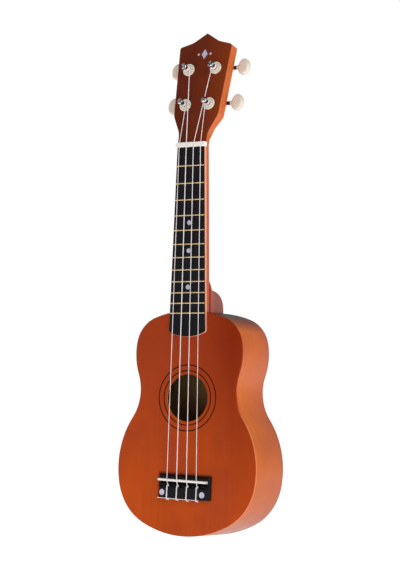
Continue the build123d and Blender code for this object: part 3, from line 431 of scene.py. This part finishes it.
def side_wood():
    """Orange side, with painted reflection cooler towards its back edge, painted shade towards its bottom
    and painted shade over the top of the shoulders.
    """
    shader = Shader("side_wood")
    colour = stained_wood(shader, srgb(200, 101, 36), 0.06, 0.36, coat=0.05, sheen=0.14)
    patch_noise = shader.range(shader.noise((14, 14, 22), 3, 0.5), 0.42, 0.68, 0, 0.4)
    colour = shader.mix(patch_noise, colour, srgb(160, 76, 50))
    # Painted shade and floor reflection: darker and duller towards the bottom.
    low = shader.range(shader.axis("Z"), -0.335, -0.400, 0, 0.7)
    colour = shader.mix(low, colour, srgb(146, 74, 50))
    # Painted reflection: cooler and pinker towards the side's back edge.
    back = shader.range(shader.axis("Y"), 0.015, 0.058, 0, 0.6)
    colour = shader.mix(back, colour, srgb(168, 84, 62))
    # Painted shade: near black over the top of the shoulders.
    top = shader.range(shader.axis("Z"), -0.190, -0.174, 0, 0.95)
    colour = shader.mix(top, colour, srgb(40, 12, 10))
    shader.colour(colour)
    return shader.material


def neck_wood():
    """Orange headstock edge running into a redder neck and a pink-brown heel."""
    shader = Shader("neck_wood")
    colour = stained_wood(shader, srgb(200, 98, 38), 0.11, 0.36, coat=0.08, sheen=0.22)
    down = shader.range(shader.axis("Z"), -0.06, 0.005, 1, 0)
    colour = shader.mix(shader.math("MULTIPLY", down, 0.85), colour, srgb(176, 78, 60))
    deep = shader.range(shader.axis("Y"), 0.009, 0.024, 0, 1)
    low = shader.range(shader.axis("Z"), -0.135, -0.118, 1, 0)
    heel = shader.math("MULTIPLY", shader.math("MULTIPLY", deep, low), 0.85)
    shader.colour(shader.mix(heel, colour, srgb(142, 72, 58)))
    return shader.material


def facing_wood():
    """Dark red-brown veneer, a little warmer towards its right edge."""
    shader = Shader("facing_wood")
    colour = stained_wood(shader, srgb(95, 35, 17), 0.13, 0.4, 300, sheen=0.07)
    right = shader.range(shader.axis("X"), -0.012, 0.03, 0, 0.8)
    shader.colour(shader.mix(right, colour, srgb(128, 52, 16)))
    return shader.material


def back_wood():
    """Even red-brown stain outside; bare wood inside, with painted light making it paler towards the top.
    """
    shader = Shader("back_wood")
    colour = stained_wood(shader, srgb(158, 66, 28), 0.14, 0.34, coat=0.15)
    inside = shader.range(shader.facing("Y"), -0.95, -0.8, 1, 0)
    # Painted light and shade inside: the bare wood paler towards the top, darker towards the bottom.
    height = shader.range(shader.axis("Z"), -0.285, -0.245, 0, 1)
    bare = shader.mix(height, srgb(96, 56, 36), srgb(142, 112, 70))
    shader.colour(shader.mix(inside, colour, bare))
    return shader.material


def handling_marks(shader, smooth, rough):
    """Fine marks in the gloss of a plastic."""
    marks = shader.noise((900, 900, 900), 2, 0.7)
    shader.roughness(shader.range(marks, 0.3, 0.7, smooth, rough))
    shader.bump(marks, 0.04, 0.0001)


def bushing_plastic():
    """Cream bushings with darker rings of painted shade around their posts."""
    shader = Shader("bushing_cream")
    cloud = shader.noise((110, 110, 110), 3)
    low, high = tones(srgb(234, 226, 210), 0.96, 1.03)
    cream = shader.ramp(cloud, ((0.35, low), (0.65, high)))
    # Painted shade: darker rings at set distances from the nearest post, standing for shade in the grooves.
    groove_shade = shader.ramp(shader.range(shader.from_posts(), 0, 0.008, 0, 1), (
        (0.36, (1, 1, 1)),
        (0.42, (0, 0, 0)),
        (0.56, (0, 0, 0)),
        (0.61, (1, 1, 1)),
        (0.66, (1, 1, 1)),
        (0.70, (0, 0, 0)),
    ))
    shader.colour(shader.mix(shader.math("MULTIPLY", groove_shade, 0.5), cream, srgb(168, 150, 126)))
    handling_marks(shader, 0.26, 0.38)
    return shader.material


def black_wood():
    """Black stained hardwood with faint grey pores along the grain."""
    shader = Shader("black_wood")
    streak = shader.noise((420, 420, 12), 4, 0.6)
    pore = shader.noise((1700, 1700, 110), 2, 0.7)
    low, high, grey = tones(srgb(9, 9, 13), 0.7, 1.3, 2.4)
    colour = shader.ramp(streak, ((0.3, low), (0.7, high)))
    shader.colour(shader.mix(shader.range(pore, 0.62, 0.74, 0, 0.5), colour, grey))
    shader.roughness(shader.range(streak, 0.3, 0.7, 0.19, 0.33))
    shader.bump(pore, 0.1, 0.0002)
    shader.set(Specular_IOR_Level=0.14)
    return shader.material


def fingerboard_wood():
    """Black on its top face, a pale orange stain along its edges."""
    shader = Shader("fingerboard_black")
    streak = shader.noise((420, 420, 12), 4, 0.6)
    pore = shader.noise((1700, 1700, 110), 2, 0.7)
    black = shader.ramp(streak, ((0.3, srgb(9, 9, 12)), (0.7, srgb(20, 20, 26))))
    black = shader.mix(shader.range(pore, 0.62, 0.74, 0, 0.5), black, srgb(38, 38, 46))
    stain = shader.ramp(streak, ((0.3, srgb(212, 136, 104)), (0.7, srgb(234, 172, 142))))
    edge = shader.range(shader.axis("Y"), 0.00015, 0.0004, 0, 1)
    shader.colour(shader.mix(edge, black, stain))
    shader.roughness(shader.range(streak, 0.3, 0.7, 0.38, 0.5))
    shader.bump(pore, 0.1, 0.0002)
    shader.set(Specular_IOR_Level=0.12)
    return shader.material


def raw_wood():
    """Unfinished timber of the braces, linings and blocks."""
    shader = Shader("raw_wood")
    streak = shader.noise((300, 300, 9), 4)
    shader.colour(shader.ramp(streak, ((0.3, srgb(96, 62, 36)), (0.7, srgb(134, 94, 58)))))
    shader.roughness(shader.range(streak, 0.3, 0.7, 0.7, 0.85))
    shader.bump(streak, 0.2, 0.0003)
    return shader.material


def plastic(name, shade, gloss, mottle=0.05, subsurface=0.0, coat=0.0, sheen=0.5):
    """Moulded plastic with a slight mottle."""
    shader = Shader(name)
    cloud = shader.noise((110, 110, 110), 3)
    low, high = tones(srgb(*shade), 1 - mottle, 1 + mottle)
    shader.colour(shader.ramp(cloud, ((0.35, low), (0.65, high))))
    handling_marks(shader, gloss - 0.05, gloss + 0.08)
    shader.set(Subsurface_Weight=subsurface, Subsurface_Radius=(0.0015, 0.001, 0.0008))
    shader.set(Coat_Weight=coat, Specular_IOR_Level=sheen)
    return shader.material


def pearl():
    """Grey-lilac pearl: clouded bands with small bright flakes."""
    shader = Shader("pearl")
    cell = shader.nodes.new("ShaderNodeTexVoronoi")
    cell.inputs["Scale"].default_value = 520
    cell.inputs["Randomness"].default_value = 0.9
    shader.links.new(shader.coordinates, cell.inputs["Vector"])
    band = shader.noise((300, 300, 300), 3, 0.5, distortion=1.2)
    flake = shader.math("MULTIPLY", cell.outputs["Distance"], 0.3)
    tint = shader.math("ADD", shader.math("MULTIPLY", band, 0.7), flake)
    shader.colour(shader.ramp(tint, (
        (0.25, srgb(142, 150, 182)),
        (0.42, srgb(188, 192, 212)),
        (0.55, srgb(176, 166, 190)),
        (0.70, srgb(204, 210, 222)),
    )))
    shader.roughness(shader.range(band, 0.3, 0.7, 0.14, 0.24))
    shader.set(Metallic=0.1, Coat_Weight=0.5, Coat_Roughness=0.06)
    return shader.material


def scratched_metal(shader, smooth, rough, brushed=0.0):
    """Bare metal's shine, broken by faint scratches."""
    scratch = shader.noise((2600, 300, 300), 3, 0.7)
    shader.roughness(shader.range(scratch, 0.3, 0.7, smooth, rough))
    shader.bump(scratch, 0.05 + brushed, 0.00005)
    shader.set(Metallic=1.0)


def metal(name, shade, gloss, brushed=0.0):
    """Plated or cut metal with slight tarnish."""
    shader = Shader(name)
    tarnish = shader.noise((150, 150, 150), 3)
    low, high = tones(srgb(*shade), 0.8, 1)
    shader.colour(shader.ramp(tarnish, ((0.35, low), (0.65, high))))
    scratched_metal(shader, gloss - 0.04, gloss + 0.10, brushed)
    return shader.material


def polished_steel(name, dark, light):
    """Bright plating in patches of a dark and a light tone; on the posts the dark patches are painted
    reflection.
    """
    shader = Shader(name)
    patch_noise = shader.noise((420, 420, 420), 3, 0.6, distortion=0.8)
    # Dark patches: painted reflection of a dark room on the posts.
    shader.colour(shader.ramp(patch_noise, ((0.44, srgb(*dark)), (0.6, srgb(*light)))))
    scratched_metal(shader, 0.14, 0.26)
    return shader.material


def nylon():
    """Translucent, faintly pink nylon string."""
    shader = Shader("nylon")
    cloud = shader.noise((500, 500, 60), 2)
    shader.colour(shader.ramp(cloud, ((0.3, srgb(222, 210, 212)), (0.7, srgb(242, 234, 234)))))
    shader.roughness(shader.range(cloud, 0.3, 0.7, 0.26, 0.36))
    shader.set(Subsurface_Weight=0.2, Subsurface_Radius=(0.001, 0.0008, 0.0008), Specular_IOR_Level=0.6)
    return shader.material


MATERIALS = {
    "soundboard_wood": soundboard_wood(),
    "side_wood": side_wood(),
    "back_wood": back_wood(),
    "neck_wood": neck_wood(),
    "facing_wood": facing_wood(),
    "fingerboard_black": fingerboard_wood(),
    "black_wood": black_wood(),
    "raw_wood": raw_wood(),
    "rosette_black": plastic("rosette_black", (22, 6, 2), 0.7, sheen=0.05),
    "white_plastic": plastic("white_plastic", (234, 228, 222), 0.3, 0.02, 0.1),
    "cream_plastic": plastic("cream_plastic", (216, 202, 186), 0.3, 0.03, 0.1, 0.2),
    "pearl": pearl(),
    "nylon": nylon(),
    "fret_wire": metal("fret_wire", (236, 206, 150), 0.22),
    "plated_steel": metal("plated_steel", (240, 232, 226), 0.2),
    "steel": metal("steel", (172, 172, 178), 0.32, 0.05),
    "gear_brass": metal("gear_brass", (200, 160, 90), 0.3),
}
FINISHES_BY_NAME = {
    "bushing": bushing_plastic(),
    # Posts: near-black patches are painted reflection of a dark room.
    "post": polished_steel("post_steel", (24, 22, 26), (236, 228, 230)),
}
SLEEVE_STEEL = polished_steel("sleeve_steel", (58, 40, 38), (150, 122, 114))


def dress_nodes():
    """Give every CAD node the finish of its slot in the record, bushings and posts one of their own."""
    for entry in RECORD["subparts"]:
        node = NODES[entry["node"]]
        material = MATERIALS[entry["material_slot"]]
        for start, finish in FINISHES_BY_NAME.items():
            if entry["node"].startswith(start):
                material = finish
        if not node.material_slots:
            node.data.materials.append(material)
        for place in node.material_slots:
            place.material = material


# ------------------------------------------------------------------ strings
def on_bridge(x, y, z):
    """Point on the slanted bridge, from its place on a level one."""
    turn = Matrix.Rotation(BRIDGE_SLANT, 3, "Y")
    pivot = Vector((0, 0, -SCALE))
    return pivot + turn @ (Vector((x, y, z)) - pivot)


def rounded(points, radii):
    """Polyline whose inner corners are rounded."""
    path, steps = [points[0]], 8
    for before, corner, after, radius in zip(points, points[1:], points[2:], radii):
        reach_in = min(radius, 0.48 * (corner - before).length)
        reach_out = min(radius, 0.48 * (after - corner).length)
        start = corner + (before - corner).normalized() * reach_in
        end = corner + (after - corner).normalized() * reach_out
        for step in range(steps + 1):
            t = step / steps
            path.append((1 - t) ** 2 * start + 2 * t * (1 - t) * corner + t * t * end)
    path.append(points[-1])
    return path


def resampled(path, spacing):
    """The same line with evenly spaced points."""
    lengths = [0.0]
    for start, end in zip(path, path[1:]):
        lengths.append(lengths[-1] + (end - start).length)
    count = max(2, round(lengths[-1] / spacing))
    result, piece = [], 0
    for step in range(count + 1):
        at = lengths[-1] * step / count
        while piece < len(path) - 2 and lengths[piece + 1] < at:
            piece += 1
        span = lengths[piece + 1] - lengths[piece] or 1.0
        result.append(path[piece].lerp(path[piece + 1], min(1.0, (at - lengths[piece]) / span)))
    return result


def wound(path, offset, pitch, phase):
    """Line that twists around another one."""
    path = resampled(path, pitch / 14)
    travelled, line = 0.0, []
    side = ACROSS
    for index, point in enumerate(path):
        ahead = path[min(index + 1, len(path) - 1)] - path[max(index - 1, 0)]
        ahead.normalize()
        side = (side - ahead * side.dot(ahead)).normalized()
        angle = phase + 2 * math.pi * travelled / pitch
        line.append(point + offset * (math.cos(angle) * side + math.sin(angle) * ahead.cross(side)))
        if index + 1 < len(path):
            travelled += (path[index + 1] - point).length
    return line


def strand(name, lines, radius, body, replaced=()):
    """Round nylon along one or more lines, as one piece on a body."""
    data = bpy.data.curves.new(name, "CURVE")
    data.dimensions = "3D"
    data.bevel_depth = radius
    data.bevel_resolution = 4
    data.use_fill_caps = True
    for points in lines:
        spline = data.splines.new("POLY")
        spline.points.add(len(points) - 1)
        for target, point in zip(spline.points, points):
            target.co = (*point, 1)
    data.materials.append(MATERIALS["nylon"])
    piece = bpy.data.objects.new(name, data)
    SCENE.collection.objects.link(piece)
    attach(piece, body)
    if replaced:
        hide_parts(*replaced)


def make_strings():
    """Each string's speaking length, its twisted hitch and knot at the bridge, its turns on the post."""
    for index, (name, post, radius) in enumerate(STRINGS):
        place = index - 1.5
        x = place * SADDLE_SPACING
        turns = post_turns(post, radius)
        nut = Vector((place * NUT_SPACING, *NUT_TOP))
        saddle = on_bridge(x, SADDLE_TOP, -SCALE)
        knot = on_bridge(x, TIE_TOP + 0.9 * MM, TIE_FRONT + 1.5 * MM)
        hole_in = on_bridge(x, TIE_HOLE, TIE_FRONT + 0.6 * MM)
        hole_out = on_bridge(x, TIE_HOLE, BRIDGE_BACK - 1.1 * MM)
        over = TIE_TOP - HITCH_LIFT
        back = on_bridge(x, over, BRIDGE_BACK - 1.1 * MM)
        front = on_bridge(x, over, TIE_FRONT + 0.8 * MM)
        speaking = rounded([turns[0], nut, saddle, knot, hole_in, hole_out, back],
                           [6 * MM, 2.5 * MM, 1 * MM, 1 * MM, 1 * MM])
        strand(f"string_{name}_run", [speaking], radius, ROOT, [f"string_{name}"])

        hitch = rounded([hole_out, back, front, knot], [1.0 * MM, 0.8 * MM])
        start = 0.4 * index
        twist = [wound(hitch, HITCH_OFFSET, HITCH_PITCH, phase) for phase in (start, math.pi + start)]
        loop = knot_loop(knot, (saddle - knot).normalized(), radius + 0.45 * MM)
        end_low = on_bridge(x + 0.9 * MM, TIE_TOP + 0.6 * MM, BRIDGE_BACK - 1.5 * MM)
        end_tip = on_bridge(x + 1.7 * MM, TIE_TOP + 1.4 * MM, BRIDGE_BACK - 2.2 * MM)
        stub = rounded([back, end_low, end_tip], [0.8 * MM])
        strand(f"string_{name}_hitch", [*twist, loop, stub], HITCH_RADIUS, ROOT)
        strand(f"string_{name}_turns", [turns], radius, f"post_{post}", [f"winding_{name}"])
    strand("string_tail_line", [tail_line()], TAIL_RADIUS, ROOT)


def knot_loop(centre, axis, size):
    """Two snug turns around the string in front of the tie block."""
    across = axis.cross(ACROSS).normalized()
    other = axis.cross(across)
    steps = 32
    line = []
    for step in range(steps + 1):
        angle = 4 * math.pi * step / steps
        rise = (step / steps - 0.5) * 1.5 * size
        line.append(centre + size * (math.cos(angle) * across + math.sin(angle) * other) + axis * rise)
    return line


def post_turns(post, radius):
    """The turns on a post, from its inner side up to its hole, with a short tail through it."""
    coil_radius = SPOOL_RADIUS + radius + WINDING_GAP
    pitch = 2 * radius + WINDING_GAP
    middle = post_foot(post)
    inward = -math.copysign(1, middle.x) * ACROSS

    def around(angle):
        return math.cos(angle) * inward + math.sin(angle) * HEAD_UP

    line = []
    steps = 32
    for step in range(steps * WINDING_TURNS + 1):
        turn = step / steps
        out = WINDING_H + radius + pitch * turn
        line.append(middle + coil_radius * around(2 * math.pi * turn) + HEAD_OUT * out)
    top = WINDING_H + radius + pitch * WINDING_TURNS
    steps = 12
    for step in range(1, steps + 1):
        t = step / steps
        out = top + (POST_HOLE_H - top) * (3 - 2 * t) * t * t
        reach = coil_radius + 0.3 * MM * math.sin(math.pi * t)
        line.append(middle + reach * around(math.pi * t / 2) + HEAD_OUT * out)
    through = middle + HEAD_OUT * POST_HOLE_H
    line.append(through - HEAD_UP * SPOOL_RADIUS)
    line.append(through - HEAD_UP * POST_TAIL + HEAD_OUT * 0.5 * MM)
    return line


def lathe(name, profile, origin, axis, body, material):
    """Turned piece from (distance along the axis, radius) pairs."""
    side = axis.orthogonal().normalized()
    other = axis.cross(side)
    count = 48
    points, faces = [], []
    for distance, radius in profile:
        for step in range(count):
            angle = 2 * math.pi * step / count
            offset = math.cos(angle) * side + math.sin(angle) * other
            points.append(origin + axis * distance + offset * radius)
    for row in range(len(profile) - 1):
        for step in range(count):
            ahead = (step + 1) % count
            low, high = row * count, (row + 1) * count
            faces.append((low + step, low + ahead, high + ahead, high + step))
    mesh = bpy.data.meshes.new(name)
    mesh.from_pydata(points, [], faces)
    mesh.update()
    mesh.set_sharp_from_angle(angle=math.radians(35))
    mesh.materials.append(material)
    piece = bpy.data.objects.new(name, mesh)
    SCENE.collection.objects.link(piece)
    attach(piece, body)


def make_sleeves():
    """Grooved metal sleeve on each button's shaft, between the headstock and the button."""
    near, far = SLEEVE_SPAN
    profile = [(near, SLEEVE_BORE), (near, SLEEVE_RADIUS - 0.25 * MM), (near + 0.3 * MM, SLEEVE_RADIUS)]
    for groove in range(GROOVES):
        start = GROOVE_START + GROOVE_PITCH * groove
        floor = start + GROOVE_SIDE
        profile += [
            (start, SLEEVE_RADIUS),
            (floor, GROOVE_RADIUS),
            (floor + GROOVE_FLOOR, GROOVE_RADIUS),
            (floor + GROOVE_FLOOR + GROOVE_SIDE, SLEEVE_RADIUS),
        ]
    profile += [(far - 0.2 * MM, SLEEVE_RADIUS), (far, SLEEVE_RADIUS - 0.2 * MM), (far, SLEEVE_BORE)]
    for _, post, _ in STRINGS:
        button = f"button_{post}"
        shaft = Vector(JOINTS[button]["pos_m"])
        outward = math.copysign(1, shaft.x) * ACROSS
        lathe(f"sleeve_{post}", profile, shaft, outward, button, SLEEVE_STEEL)


def tail_line():
    """Spare string tucked under the hitches along the back of the bridge."""
    y, z = TIE_TOP + 0.9 * MM, BRIDGE_BACK - 0.45 * MM
    xs = [-BRIDGE_HALF + 1.6 * MM, -20 * MM, -8 * MM, 6 * MM, 19.5 * MM]
    lifts = [0.0, 0.25, -0.1, 0.2, 0.1]
    return rounded([on_bridge(x, y, z + lift * MM) for x, lift in zip(xs, lifts)], [4 * MM] * 3)


make_camera()
make_studio()
dress_nodes()
make_strings()
make_sleeves()
